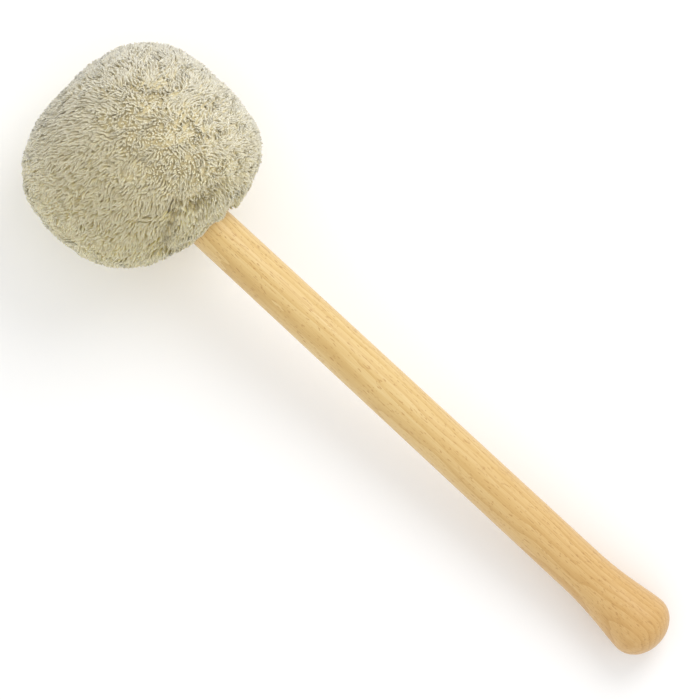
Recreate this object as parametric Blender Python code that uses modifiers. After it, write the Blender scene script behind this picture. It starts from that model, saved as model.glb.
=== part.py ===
"""Gong mallet: a turned beech handle and a soft drum-shaped head, lying on its side as it rests on a table.

Each piece is modelled upright on the mallet's own axis. There +Z runs from the handle to the crown of the
head, Z = 0 is where the handle enters the fleece, and +X is the side that faces up when the mallet lies down.
An empty lays the finished mallet on the floor, Z = 0, with the knob and one side of the head touching it.
"""

import math

import bmesh
import bpy
from mathutils import Matrix, Vector

MM = 0.001

# Clearances
FIT = 0.3 * MM  # between pieces that touch
SOFT_FIT = 0.45 * MM  # between soft pieces that touch

# Handle
HANDLE_LENGTH = 302.8 * MM  # from the fleece to the end of the knob
NECK_RADIUS = 11.5 * MM  # where the handle enters the head
GRIP_RADIUS = 12.4 * MM  # where the flare begins
FLARE_LENGTH = 40.1 * MM
FLARE_PULL_SHAFT = 18.7 * MM  # how far the flare's curve runs on along the shaft
FLARE_PULL_KNOB = 6.2 * MM  # how far it runs level into the knob
KNOB_RADIUS = 16.2 * MM
KNOB_DOME = 13.0 * MM  # height of the domed end beyond the knob's widest ring
GROOVE_DEPTH = 1.0 * MM  # turned groove that holds the cover's hem
TENON_RADIUS = 8.0 * MM
TENON_SETBACK = 1.5 * MM  # the tenon stops this far below the core's top
TENON_CHAMFER = 1.0 * MM

# Core and its fixing
CORE_RADIUS = 19.5 * MM
CORE_LENGTH = 42.0 * MM
CORE_EDGE = 3.0 * MM  # radius of its rounded rims
WASHER_RADIUS = 11.0 * MM
WASHER_THICKNESS = 1.6 * MM
WASHER_CHAMFER = 0.3 * MM
SCREW_RADIUS = 2.5 * MM
SCREW_LENGTH = 30.0 * MM  # under the head
SCREW_POINT = 5.0 * MM
SCREW_HEAD_RADIUS = 4.8 * MM
SCREW_HEAD_HEIGHT = 3.0 * MM
PILOT_SPARE = 2.0 * MM  # the pilot hole runs this far past the screw's point

# Felt
FELT_THICKNESS = 4.2 * MM
FELT_TURNS = 3
FELT_SKIVED = 0.6 * MM  # thickness of the strip's thinned ends
FELT_GAP = 0.5 * MM  # between one turn and the next
FELT_CLIMB = math.radians(30)  # turn in which the strip climbs over its own end
FELT_DISC_RADIUS = 27.0 * MM
FELT_DISC_THICKNESS = 5.0 * MM
FELT_DISC_EDGE = 1.5 * MM

# Wadding
WADDING_WALL = 10.5 * MM
WADDING_END = 11.0 * MM  # floor and roof
WADDING_SQUARENESS = 2.6  # 2 is an ellipse, and more is squarer
SHOULDER_STEP = 0.5 * MM  # slope where the hollow steps in from the felt winding to a disc

# Fleece cover, backing and pile together
COVER_THICKNESS = 12.3 * MM
COVER_LIP = 4.5 * MM  # gathered pile between the handle's entry and the binding
COVER_POCKET = 4.0 * MM  # depth of the ring-shaped space that the binding lies in
COVER_RISE = 3.0 * MM  # the head is widest this far above the middle of the wadding
CROWN_SQUARENESS = 2.5
NECK_SQUARENESS = 2.8
NECK_SQUARENESS_SWING = 0.4  # the +Y side is fuller, and the -Y side is rounder
NECK_SAG = 2.8 * MM  # the same fullness, in the level of the underside
SIDE_SWING = 0.6 * MM  # and in the radius
LIP_LEVEL = 1.5 * MM  # level at which the pile meets the handle
LIP_WIDTH = 10.0 * MM  # how far from the handle the underside turns in to it
NECK_FOLDS = 10
NECK_FOLD_DEPTH = 1.1 * MM
NECK_FOLD_REACH = 22.0 * MM  # how far from the handle the folds run out
CROWN_DIMPLE = 3.0 * MM
CROWN_DIMPLE_REACH = 9.0 * MM
SEAM_DEPTH = 0.8 * MM
SEAM_WIDTH = 4.0 * MM
PUCKER_DEPTH = 2.6 * MM  # two long creases where the seam runs into the gathers
PUCKER_WIDTH = 4.5 * MM
PUCKERS = (  # each runs between two places, as (degrees round from +X, height)
    ((-50.0, 8.5 * MM), (-4.0, 22.5 * MM)),
    ((2.0, 16.5 * MM), (24.0, 12.0 * MM)),
)
REST_FLAT = 0.5 * MM  # the pile is pressed flat this deep where it rests

# Hem and bindings
HEM_THICKNESS = 1.4 * MM
HEM_MARGIN = 0.8 * MM  # hem beyond the binding at each end
CORD_RADIUS = 0.8 * MM
CORD_TURNS = 4
NUB_RADIUS = 2.6 * MM  # gathered edge of the cover, inside the crown
NUB_LENGTH = 7.0 * MM
THREAD_RADIUS = 0.6 * MM
THREAD_TURNS = 3
WINDING_GAP = 0.45 * MM  # between neighbouring turns of cord or thread

# Facets
ROUND_STEPS = 48
COVER_COLUMNS = 40
CROWN_RINGS = 7
UNDERSIDE_RINGS = 8
WALL_RINGS = 8
CURVE_STEPS = 10
EDGE_STEPS = 3
FELT_STEPS = 36
LOOP_STEPS = 24

# Levels along the axis, from the neck to the crown
COVER_FLOOR = COVER_LIP + COVER_POCKET
WADDING_BOTTOM = COVER_FLOOR + SOFT_FIT
HOLLOW_BOTTOM = WADDING_BOTTOM + WADDING_END
NECK_DISC_BOTTOM = HOLLOW_BOTTOM + SOFT_FIT
NECK_DISC_TOP = NECK_DISC_BOTTOM + FELT_DISC_THICKNESS
CORE_BOTTOM = NECK_DISC_TOP + FIT
CORE_TOP = CORE_BOTTOM + CORE_LENGTH
CROWN_DISC_BOTTOM = CORE_TOP + FIT
CROWN_DISC_TOP = CROWN_DISC_BOTTOM + FELT_DISC_THICKNESS
WASHER_BOTTOM = CORE_TOP + FIT
WASHER_TOP = WASHER_BOTTOM + WASHER_THICKNESS
SCREW_SEAT = WASHER_TOP + FIT
SCREW_TOP = SCREW_SEAT + SCREW_HEAD_HEIGHT
SCREW_TIP = SCREW_SEAT - SCREW_LENGTH
HOLLOW_TOP = max(CROWN_DISC_TOP, SCREW_TOP) + SOFT_FIT
WADDING_TOP = HOLLOW_TOP + WADDING_END
COVER_CEILING = WADDING_TOP + SOFT_FIT
CROWN = COVER_CEILING + COVER_THICKNESS
HEAD_MIDDLE = (WADDING_BOTTOM + WADDING_TOP) / 2
HEAD_WIDEST = HEAD_MIDDLE + COVER_RISE
SHOULDER = CORE_BOTTOM - FIT
TENON_TOP = CORE_TOP - TENON_SETBACK

# Binding, hem and groove
CORD_PITCH = 2 * CORD_RADIUS + WINDING_GAP
HEM_INNER = NECK_RADIUS - GROOVE_DEPTH + FIT
HEM_OUTER = HEM_INNER + HEM_THICKNESS
CORD_LINE = HEM_OUTER + FIT + CORD_RADIUS
CORD_START = COVER_LIP + FIT + CORD_RADIUS
HEM_TOP = CORD_START + CORD_TURNS * CORD_PITCH + CORD_RADIUS + HEM_MARGIN
GROOVE_BOTTOM = COVER_LIP - GROOVE_DEPTH - FIT
POCKET_RADIUS = CORD_LINE + CORD_RADIUS + SOFT_FIT
THREAD_PITCH = 2 * THREAD_RADIUS + WINDING_GAP
THREAD_LINE = NUB_RADIUS + FIT + THREAD_RADIUS
NUB_HOLE_RADIUS = THREAD_LINE + THREAD_RADIUS + SOFT_FIT


def felt_inner(angle):
    """Radius of the strip's inner face, this far along its winding."""
    full_turn = 2 * math.pi
    if angle >= full_turn:
        return felt_outer(angle - full_turn) + FELT_GAP
    climbed = max(0.0, (angle - full_turn + FELT_CLIMB) / FELT_CLIMB)
    return CORE_RADIUS + FIT + (FELT_SKIVED + FELT_GAP) * smooth(climbed)


def felt_outer(angle):
    """Radius of its outer face: the first turn thickens from its thinned end, and the last thins again."""
    full_turn = 2 * math.pi
    started = min(1.0, angle / full_turn)
    to_go = min(1.0, (FELT_TURNS * full_turn - angle) / full_turn)
    return felt_inner(angle) + FELT_SKIVED + (FELT_THICKNESS - FELT_SKIVED) * min(started, to_go)


def smooth(x):
    """0 up to x = 0 and 1 from x = 1, with an even curve between them."""
    x = min(1.0, max(0.0, x))
    return x * x * (3 - 2 * x)


FELT_ANGLES = [i * 2 * math.pi / FELT_STEPS for i in range(FELT_TURNS * FELT_STEPS + 1)]
FELT_RADIUS = max(felt_outer(angle) for angle in FELT_ANGLES)
WADDING_RADIUS = FELT_RADIUS + SOFT_FIT + WADDING_WALL
COVER_INNER_RADIUS = WADDING_RADIUS + SOFT_FIT
HEAD_RADIUS = COVER_INNER_RADIUS + COVER_THICKNESS


def rounded_square(half_width, half_height, squareness, turn):
    """The point of a superellipse at this turn from its top, as (radius, height)."""
    across = abs(math.sin(turn)) ** (2 / squareness)
    up = abs(math.cos(turn)) ** (2 / squareness)
    return half_width * across, math.copysign(half_height * up, math.cos(turn))


def turn_at(half_width, squareness, radius):
    """The turn from the top at which the upper half of that superellipse has this radius."""
    return math.asin(min(1.0, radius / half_width) ** (squareness / 2))


def arc(centre_r, centre_z, radius, start, end, steps=EDGE_STEPS):
    """Points (radius, height) round an arc, with its angles in degrees from outwards to up."""
    angles = [math.radians(start + (end - start) * i / steps) for i in range(steps + 1)]
    return [(centre_r + radius * math.cos(a), centre_z + radius * math.sin(a)) for a in angles]


def flare():
    """The flare, from the shaft down to the knob's widest ring, as one cubic curve."""
    top = -HANDLE_LENGTH + KNOB_DOME + FLARE_LENGTH
    ends = (
        Vector((GRIP_RADIUS, top)),
        Vector((GRIP_RADIUS, top - FLARE_PULL_SHAFT)),
        Vector((KNOB_RADIUS, top - FLARE_LENGTH + FLARE_PULL_KNOB)),
        Vector((KNOB_RADIUS, top - FLARE_LENGTH)),
    )
    points = []
    for i in range(CURVE_STEPS + 1):
        u = i / CURVE_STEPS
        weights = ((1 - u) ** 3, 3 * u * (1 - u) ** 2, 3 * u * u * (1 - u), u**3)
        points.append(tuple(sum((w * p for w, p in zip(weights, ends)), Vector((0, 0)))))
    return points


def handle_outline():
    """The handle's outline from the bottom of its pilot hole, over the tenon and down to the knob's end."""
    pilot = SCREW_RADIUS + FIT
    pilot_bottom = SCREW_TIP - PILOT_SPARE
    groove_radius = NECK_RADIUS - GROOVE_DEPTH
    groove_top = HEM_TOP + FIT
    groove_bottom = GROOVE_BOTTOM + GROOVE_DEPTH
    knob_level = -HANDLE_LENGTH + KNOB_DOME
    dome = []
    for i in range(1, CURVE_STEPS + 1):
        angle = math.pi / 2 * i / CURVE_STEPS
        dome.append((KNOB_RADIUS * math.cos(angle), knob_level - KNOB_DOME * math.sin(angle)))
    dome[-1] = (0.0, -HANDLE_LENGTH)
    return [
        (0.0, pilot_bottom),
        (pilot, pilot_bottom),
        (pilot, TENON_TOP),
        (TENON_RADIUS - TENON_CHAMFER, TENON_TOP),
        (TENON_RADIUS, TENON_TOP - TENON_CHAMFER),
        (TENON_RADIUS, SHOULDER),
        (NECK_RADIUS, SHOULDER),
        (NECK_RADIUS, groove_top + GROOVE_DEPTH),
        (groove_radius, groove_top),
        (groove_radius, groove_bottom),
        (NECK_RADIUS, GROOVE_BOTTOM),
        *flare(),
        *dome,
    ]


def ring_outline(inner, outer, bottom, top, edge):
    """A ring's outline with rounded outer rims, from the top of its bore round to the bottom of its bore."""
    return [
        (inner, top),
        *arc(outer - edge, top - edge, edge, 90, 0),
        *arc(outer - edge, bottom + edge, edge, 0, -90),
        (inner, bottom),
    ]


def screw_outline():
    """A round-head screw's outline, from the top of its head to its point."""
    turns = [math.pi / 2 * i / CURVE_STEPS for i in range(1, CURVE_STEPS)]
    return [
        (0.0, SCREW_TOP),
        *((SCREW_HEAD_RADIUS * math.sin(t), SCREW_SEAT + SCREW_HEAD_HEIGHT * math.cos(t)) for t in turns),
        (SCREW_HEAD_RADIUS, SCREW_SEAT),
        (SCREW_RADIUS, SCREW_SEAT),
        (SCREW_RADIUS, SCREW_TIP + SCREW_POINT),
        (0.0, SCREW_TIP),
    ]


def wall(radius, bottom, top):
    """A rounded wall from the crown binding's hole down to the neck binding's pocket, at the same turns each time."""
    start = turn_at(WADDING_RADIUS, WADDING_SQUARENESS, NUB_HOLE_RADIUS)
    end = math.pi - turn_at(WADDING_RADIUS, WADDING_SQUARENESS, POCKET_RADIUS)
    points = []
    for i in range(WALL_RINGS + 1):
        turn = start + (end - start) * i / WALL_RINGS
        across, up = rounded_square(radius, (top - bottom) / 2, WADDING_SQUARENESS, turn)
        points.append((across, (top + bottom) / 2 + up))
    return points


def wadding_outline():
    """The wadding's outline: its rounded outside downwards, then its stepped hollow upwards."""
    disc_hole = FELT_DISC_RADIUS + SOFT_FIT
    felt_hole = FELT_RADIUS + SOFT_FIT
    return [
        *wall(WADDING_RADIUS, WADDING_BOTTOM, WADDING_TOP),
        (POCKET_RADIUS, HOLLOW_BOTTOM),
        (disc_hole, HOLLOW_BOTTOM),
        (disc_hole, CORE_BOTTOM - SOFT_FIT - SHOULDER_STEP),
        (felt_hole, CORE_BOTTOM - SOFT_FIT),
        (felt_hole, CORE_TOP + SOFT_FIT),
        (disc_hole, CORE_TOP + SOFT_FIT + SHOULDER_STEP),
        (disc_hole, HOLLOW_TOP),
        (NUB_HOLE_RADIUS, HOLLOW_TOP),
    ]


def crease_depth(angle, height):
    """How far the long creases draw the cover in at this place, angle in radians round from +X."""
    depth = 0.0
    here = Vector((HEAD_RADIUS * angle, height))
    for start, end in PUCKERS:
        a = Vector((HEAD_RADIUS * math.radians(start[0]), start[1]))
        b = Vector((HEAD_RADIUS * math.radians(end[0]), end[1]))
        along = min(1.0, max(0.0, (here - a).dot(b - a) / (b - a).length_squared))
        away = (here - a.lerp(b, along)).length
        depth = max(depth, PUCKER_DEPTH * math.exp(-((away / PUCKER_WIDTH) ** 2)))
    return depth


def pile_point(angle, turn):
    """A point of the pile's surface: angle round from +X, turn from 0 at the crown to 1 at the handle."""
    side = math.sin(angle)
    widest = HEAD_RADIUS + SIDE_SWING * side
    lip_radius = NECK_RADIUS + FIT
    if turn <= 0.5:
        radius, height = rounded_square(widest, CROWN - HEAD_WIDEST, CROWN_SQUARENESS, math.pi * turn)
    else:
        squareness = NECK_SQUARENESS + NECK_SQUARENESS_SWING * side
        depth = HEAD_WIDEST - COVER_LIP + LIP_LEVEL + COVER_RISE + NECK_SAG * side
        last = math.pi - turn_at(widest, squareness, lip_radius)
        swept = math.pi / 2 + (last - math.pi / 2) * (2 * turn - 1)
        radius, height = rounded_square(widest, depth, squareness, swept)
    level = HEAD_WIDEST + height
    turned_in = smooth(1 - (radius - lip_radius) / LIP_WIDTH) if turn > 0.5 else 0.0
    level += (LIP_LEVEL - level) * turned_in
    outwards = radius - lip_radius
    fold_shape = smooth(outwards / LIP_WIDTH) * smooth(1 - (outwards - LIP_WIDTH) / NECK_FOLD_REACH)
    if turn > 0.5:
        level += NECK_FOLD_DEPTH * fold_shape * math.cos(NECK_FOLDS * angle)
    level -= CROWN_DIMPLE * smooth(1 - radius / CROWN_DIMPLE_REACH) * (turn < 0.5)
    wrapped = (angle + math.pi) % (2 * math.pi) - math.pi
    seam = SEAM_DEPTH * math.exp(-((radius * wrapped / SEAM_WIDTH) ** 2)) * smooth(outwards / LIP_WIDTH)
    return radius - seam - crease_depth(wrapped, level) * (turn > 0.5) * smooth(outwards / LIP_WIDTH), level


def pile_outline(angle):
    """The pile's surface at this angle, from the first ring round the crown down to the handle."""
    rings = CROWN_RINGS + UNDERSIDE_RINGS
    return [pile_point(angle, ring / rings) for ring in range(1, rings + 1)]


def cavity_points():
    """The cover's inside, from its neck bore and hem up round the wadding to the gathered edge at the crown."""
    bore = NECK_RADIUS + FIT
    walls = wall(COVER_INNER_RADIUS, COVER_FLOOR, COVER_CEILING)[::-1]
    return [
        (bore, GROOVE_BOTTOM + FIT),
        (HEM_INNER, GROOVE_BOTTOM + GROOVE_DEPTH + FIT),
        (HEM_INNER, HEM_TOP),
        (HEM_OUTER, HEM_TOP),
        (HEM_OUTER, COVER_LIP),
        (POCKET_RADIUS, COVER_LIP),
        *walls,
        (NUB_RADIUS, walls[-1][1]),
        (NUB_RADIUS, COVER_CEILING - NUB_LENGTH),
    ]


def cover_mesh():
    """The fleece cover: sections that differ all the way round, joined from the crown to the neck and back up."""
    inside = cavity_points()
    bm = bmesh.new()
    crown = bm.verts.new((0, 0, pile_point(0.0, 0.0)[1]))
    columns = []
    for i in range(COVER_COLUMNS):
        angle = 2 * math.pi * i / COVER_COLUMNS
        outline = pile_outline(angle) + inside
        columns.append([bm.verts.new((r * math.cos(angle), r * math.sin(angle), z)) for r, z in outline])
    nub_end = bm.verts.new((0, 0, COVER_CEILING - NUB_LENGTH))
    for left, right in zip(columns, columns[1:] + columns[:1]):
        bm.faces.new((crown, left[0], right[0]))
        for k in range(len(left) - 1):
            bm.faces.new((left[k], left[k + 1], right[k + 1], right[k]))
        bm.faces.new((left[-1], nub_end, right[-1]))
    bmesh.ops.recalc_face_normals(bm, faces=bm.faces)
    mesh = bpy.data.meshes.new("fleece_cover")
    bm.to_mesh(mesh)
    bm.free()
    return mesh


def lying():
    """The tilt at which the knob and the pressed pile both touch the floor, and the height of Z = 0 there."""
    head = pile_outline(math.pi)
    handle = handle_outline()

    def lowest(points, tilt):
        return min(z * math.sin(tilt) - r * math.cos(tilt) for r, z in points)

    low, high = 0.0, math.pi / 4
    for _ in range(60):
        tilt = (low + high) / 2
        if lowest(head, tilt) + REST_FLAT < lowest(handle, tilt):
            low = tilt
        else:
            high = tilt
    return tilt, -lowest(handle, tilt)


def centre_offset(tilt):
    """How far the mallet's own Z = 0 lies from the middle of its length on the floor."""
    outline = pile_outline(0.0) + pile_outline(math.pi) + handle_outline()
    along = [side * r * math.sin(tilt) - z * math.cos(tilt) for r, z in outline for side in (-1, 1)]
    return -(min(along) + max(along)) / 2


def material(name, colour, roughness, metallic=0.0):
    made = bpy.data.materials.new(name)
    made.use_nodes = True
    shader = made.node_tree.nodes["Principled BSDF"]
    shader.inputs["Base Color"].default_value = (*colour, 1.0)
    shader.inputs["Roughness"].default_value = roughness
    shader.inputs["Metallic"].default_value = metallic
    return made


def place(obj, mallet, collection, finish):
    """Puts a piece on the mallet's axis with its material."""
    obj.data.materials.append(finish)
    obj.parent = mallet
    collection.objects.link(obj)
    return obj


def turned(name, outline, mallet, collection, finish, closed=False):
    """A turned piece: its outline at +X, swept round the axis."""
    mesh = bpy.data.meshes.new(name)
    edges = [(i, i + 1) for i in range(len(outline) - 1)]
    if closed:
        edges.append((len(outline) - 1, 0))
    mesh.from_pydata([(r, 0, z) for r, z in outline], edges, [])
    obj = place(bpy.data.objects.new(name, mesh), mallet, collection, finish)
    screw = obj.modifiers.new("turning", "SCREW")
    screw.steps = ROUND_STEPS
    screw.render_steps = ROUND_STEPS
    screw.use_merge_vertices = True
    screw.merge_threshold = 0.000001
    screw.use_smooth_shade = True
    return obj


def wound_strip(name, mallet, collection, finish):
    """The felt strip on edge: the spiral's outer line out and its inner line back, as deep as the core is long."""
    outer = [(felt_outer(a) * math.cos(a), felt_outer(a) * math.sin(a)) for a in FELT_ANGLES]
    inner = [(felt_inner(a) * math.cos(a), felt_inner(a) * math.sin(a)) for a in FELT_ANGLES]
    curve = bpy.data.curves.new(name, "CURVE")
    curve.dimensions = "2D"
    curve.fill_mode = "BOTH"
    curve.extrude = CORE_LENGTH / 2
    spline = curve.splines.new("POLY")
    points = outer + inner[::-1]
    spline.points.add(len(points) - 1)
    for point, (x, y) in zip(spline.points, points):
        point.co = (x, y, 0, 1)
    spline.use_cyclic_u = True
    obj = place(bpy.data.objects.new(name, curve), mallet, collection, finish)
    obj.location.z = (CORE_BOTTOM + CORE_TOP) / 2
    gaps = [math.dist(outer[i], inner[i + FELT_STEPS]) for i in range(len(outer) - FELT_STEPS)]
    print(f"{name}: least gap between turns {min(gaps) / MM:.2f} mm")
    return obj


def wound_cord(name, line, radius, start, pitch, turns, mallet, collection, finish):
    """Cord wound round the axis in one layer, upwards from the start level."""
    curve = bpy.data.curves.new(name, "CURVE")
    curve.dimensions = "3D"
    curve.bevel_depth = radius
    curve.bevel_resolution = 1
    curve.use_fill_caps = True
    count = turns * LOOP_STEPS + 1
    points = []
    for i in range(count):
        angle = 2 * math.pi * i / LOOP_STEPS
        points.append((line * math.cos(angle), line * math.sin(angle), start + pitch * i / LOOP_STEPS))
    spline = curve.splines.new("POLY")
    spline.points.add(count - 1)
    for point, co in zip(spline.points, points):
        point.co = (*co, 1)
    gaps = [math.dist(points[i], points[i + LOOP_STEPS]) - 2 * radius for i in range(count - LOOP_STEPS)]
    print(f"{name}: least gap between turns {min(gaps) / MM:.2f} mm")
    return place(bpy.data.objects.new(name, curve), mallet, collection, finish)


def floor_cutter(collection):
    """The floor as a block, which presses the pile flat where the head rests."""
    side = 2 * (HANDLE_LENGTH + CROWN)
    bpy.ops.mesh.primitive_cube_add(size=side, location=(0, 0, -side / 2))
    cutter = bpy.context.object
    cutter.name = "floor_cutter"
    for owner in cutter.users_collection:
        owner.objects.unlink(cutter)
    collection.objects.link(cutter)
    cutter.hide_render = True
    cutter.display_type = "WIRE"
    return cutter


def main():
    for obj in list(bpy.data.objects):
        bpy.data.objects.remove(obj)
    parts = bpy.data.collections.new("gong_mallet")
    cutters = bpy.data.collections.new("cutters")
    bpy.context.scene.collection.children.link(parts)
    bpy.context.scene.collection.children.link(cutters)

    beech = material("beech_lacquered", (0.76, 0.53, 0.25), 0.42)
    core_beech = material("beech_plain", (0.68, 0.48, 0.28), 0.7)
    steel = material("steel_zinc_plated", (0.62, 0.63, 0.64), 0.35, 1.0)
    felt = material("wool_felt", (0.62, 0.60, 0.55), 0.95)
    wool = material("wool_wadding", (0.84, 0.82, 0.76), 0.95)
    fleece = material("wool_fleece", (0.60, 0.54, 0.38), 0.95)
    cord = material("waxed_cord", (0.55, 0.47, 0.33), 0.6)

    tilt, height = lying()
    mallet = bpy.data.objects.new("mallet_axis", None)
    parts.objects.link(mallet)
    turn = Matrix.Rotation(tilt - math.pi / 2, 4, "Y")
    mallet.matrix_world = Matrix.Translation((centre_offset(tilt), 0, height)) @ turn

    turned("handle", handle_outline(), mallet, parts, beech)
    core = ring_outline(TENON_RADIUS + FIT, CORE_RADIUS, CORE_BOTTOM, CORE_TOP, CORE_EDGE)
    turned("core", core, mallet, parts, core_beech, closed=True)
    washer = ring_outline(SCREW_RADIUS + FIT, WASHER_RADIUS, WASHER_BOTTOM, WASHER_TOP, WASHER_CHAMFER)
    turned("core_washer", washer, mallet, parts, steel, closed=True)
    turned("core_screw", screw_outline(), mallet, parts, steel)
    wound_strip("felt_winding", mallet, parts, felt)
    neck_disc = ring_outline(
        NECK_RADIUS + SOFT_FIT, FELT_DISC_RADIUS, NECK_DISC_BOTTOM, NECK_DISC_TOP, FELT_DISC_EDGE
    )
    turned("neck_felt_disc", neck_disc, mallet, parts, felt, closed=True)
    crown_disc = ring_outline(
        WASHER_RADIUS + SOFT_FIT, FELT_DISC_RADIUS, CROWN_DISC_BOTTOM, CROWN_DISC_TOP, FELT_DISC_EDGE
    )
    turned("crown_felt_disc", crown_disc, mallet, parts, felt, closed=True)
    turned("wadding", wadding_outline(), mallet, parts, wool, closed=True)
    wound_cord(
        "neck_binding", CORD_LINE, CORD_RADIUS, CORD_START, CORD_PITCH, CORD_TURNS, mallet, parts, cord
    )
    thread_start = COVER_CEILING - NUB_LENGTH + FIT + THREAD_RADIUS
    wound_cord(
        "crown_binding", THREAD_LINE, THREAD_RADIUS, thread_start, THREAD_PITCH, THREAD_TURNS,
        mallet, parts, cord,
    )
    cover = place(bpy.data.objects.new("fleece_cover", cover_mesh()), mallet, parts, fleece)
    cover.data.shade_smooth()
    pressed = cover.modifiers.new("pressed_flat", "BOOLEAN")
    pressed.operation = "DIFFERENCE"
    pressed.object = floor_cutter(cutters)
    cutters.hide_render = True
    print(f"tilt {math.degrees(tilt):.3f} degrees, head {2 * HEAD_RADIUS / MM:.1f} mm across")


main()
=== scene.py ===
"""Gong mallet lying on a white table: a turned beech handle and a drum-shaped head in cream fleece.

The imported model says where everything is. New pieces are worked out in the mallet's own axes, in metres: z
runs from the handle to the crown of the head, z = 0 is where the handle enters the fleece, and x points to the
side that faces up. A place on the head is an angle, in radians round from that side, where the cover's seam
is, and a turn: 0 at the crown, 0.5 where the head is widest and 1 at the handle.
"""

import logging
import math
from dataclasses import dataclass
from enum import Enum

import bmesh
import bpy
import numpy as np
from mathutils import Matrix, Vector


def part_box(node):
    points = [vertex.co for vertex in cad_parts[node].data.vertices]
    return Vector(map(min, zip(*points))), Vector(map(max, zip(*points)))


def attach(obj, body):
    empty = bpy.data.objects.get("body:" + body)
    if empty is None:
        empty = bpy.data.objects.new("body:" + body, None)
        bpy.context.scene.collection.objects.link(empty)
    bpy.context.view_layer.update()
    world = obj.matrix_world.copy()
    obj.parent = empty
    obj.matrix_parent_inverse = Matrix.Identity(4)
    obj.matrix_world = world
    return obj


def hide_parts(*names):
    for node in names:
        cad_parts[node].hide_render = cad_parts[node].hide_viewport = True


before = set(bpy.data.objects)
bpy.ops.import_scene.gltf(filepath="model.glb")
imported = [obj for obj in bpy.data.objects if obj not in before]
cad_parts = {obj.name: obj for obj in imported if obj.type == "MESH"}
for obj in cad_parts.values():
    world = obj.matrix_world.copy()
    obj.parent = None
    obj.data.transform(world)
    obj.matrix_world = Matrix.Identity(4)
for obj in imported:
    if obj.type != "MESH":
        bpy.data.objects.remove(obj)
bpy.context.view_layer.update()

MM = 0.001
MERGE = 0.001 * MM  # points closer than this are joined
WIDEST = 0.5  # the turn at which the head is widest
BODY = "root"

log = logging.getLogger("gong_mallet")


# Small helpers


def smooth(x: np.ndarray) -> np.ndarray:
    """0 up to x = 0 and 1 from x = 1, with an even curve between them."""
    x = np.clip(x, 0.0, 1.0)
    return x * x * (3 - 2 * x)


def wrapped(angle: np.ndarray) -> np.ndarray:
    """The same angle between -pi and pi."""
    return (angle + np.pi) % (2 * np.pi) - np.pi


def unit(vectors: np.ndarray) -> np.ndarray:
    """Vectors brought to a length of 1."""
    return vectors / np.linalg.norm(vectors, axis=-1, keepdims=True)


def along_surface(vectors: np.ndarray, normal: np.ndarray) -> np.ndarray:
    """Vectors without their part along the normal."""
    return vectors - normal * np.sum(vectors * normal, axis=-1, keepdims=True)


def linear(hex_colour: str) -> tuple[float, float, float, float]:
    """An sRGB colour as linear light.

    Args:
        hex_colour: six hex digits, such as "d9c8a0".

    Returns:
        Linear red, green and blue, and an alpha of 1.
    """
    channels = [int(hex_colour[i : i + 2], 16) / 255 for i in (0, 2, 4)]
    bright = [c / 12.92 if c <= 0.04045 else ((c + 0.055) / 1.055) ** 2.4 for c in channels]
    return (bright[0], bright[1], bright[2], 1.0)


def add(
    tree: bpy.types.NodeTree, kind: str, inputs: dict | None = None, **settings: object
) -> bpy.types.Node:
    """Adds one node.

    Args:
        tree: the node tree that it goes in.
        kind: the node's type name.
        inputs: input name or number to a value, or to the socket that it is linked from.
        settings: the node's own properties.

    Returns:
        The node.
    """
    node = tree.nodes.new(kind)
    for key, value in settings.items():
        setattr(node, key, value)
    connect(tree, node, inputs or {})
    return node


def connect(tree: bpy.types.NodeTree, node: bpy.types.Node, inputs: dict) -> None:
    """Sets a node's inputs.

    Args:
        tree: the node tree that it is in.
        node: the node.
        inputs: input name or number to a value, or to the socket that it is linked from.
    """
    for key, value in inputs.items():
        if isinstance(value, bpy.types.NodeSocket):
            tree.links.new(value, node.inputs[key])
        else:
            node.inputs[key].default_value = value


def new_material(name: str) -> tuple[bpy.types.Material, bpy.types.NodeTree, bpy.types.Node]:
    """An empty node material.

    Args:
        name: the material's name.

    Returns:
        The material, its node tree and its Principled shader.
    """
    made = bpy.data.materials.new(name)
    made.use_nodes = True
    return made, made.node_tree, made.node_tree.nodes["Principled BSDF"]


def ramp(
    tree: bpy.types.NodeTree, factor: bpy.types.NodeSocket, stops: dict[float, str]
) -> bpy.types.NodeSocket:
    """A colour ramp.

    Args:
        tree: the node tree.
        factor: what drives the ramp.
        stops: position to sRGB hex colour, in order.

    Returns:
        The ramp's colour socket.
    """
    node = add(tree, "ShaderNodeValToRGB", {"Fac": factor})
    elements = node.color_ramp.elements
    while len(elements) < len(stops):
        elements.new(0.5)
    for element, (position, colour) in zip(elements, stops.items()):
        element.position = position
        element.color = linear(colour)
    return node.outputs["Color"]


def spun(outline: list[tuple[float, float]], steps: int) -> bmesh.types.BMesh:
    """An outline spun round the z axis.

    Args:
        outline: (radius, level) of each point, from one end to the other.
        steps: faces round the axis.

    Returns:
        The mesh, with its points on the axis not yet joined.
    """
    bm = bmesh.new()
    verts = [bm.verts.new((radius, 0, level)) for radius, level in outline]
    edges = [bm.edges.new(pair) for pair in zip(verts, verts[1:])]
    bmesh.ops.spin(
        bm,
        geom=verts + edges,
        cent=(0, 0, 0),
        axis=(0, 0, 1),
        angle=2 * math.pi,
        steps=steps,
        use_merge=True,
    )
    return bm


def to_mesh(name: str, bm: bmesh.types.BMesh) -> bpy.types.Mesh:
    """A new mesh from a bmesh, which is freed.

    Args:
        name: the mesh's name.
        bm: the bmesh.

    Returns:
        The mesh.
    """
    mesh = bpy.data.meshes.new(name)
    bm.to_mesh(mesh)
    bm.free()
    return mesh


def link(name: str, data: bpy.types.ID) -> bpy.types.Object:
    """A new object in the scene.

    Args:
        name: the object's name.
        data: its mesh, lamp or camera.

    Returns:
        The object, at the origin.
    """
    obj = bpy.data.objects.new(name, data)
    bpy.context.scene.collection.objects.link(obj)
    return obj


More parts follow.
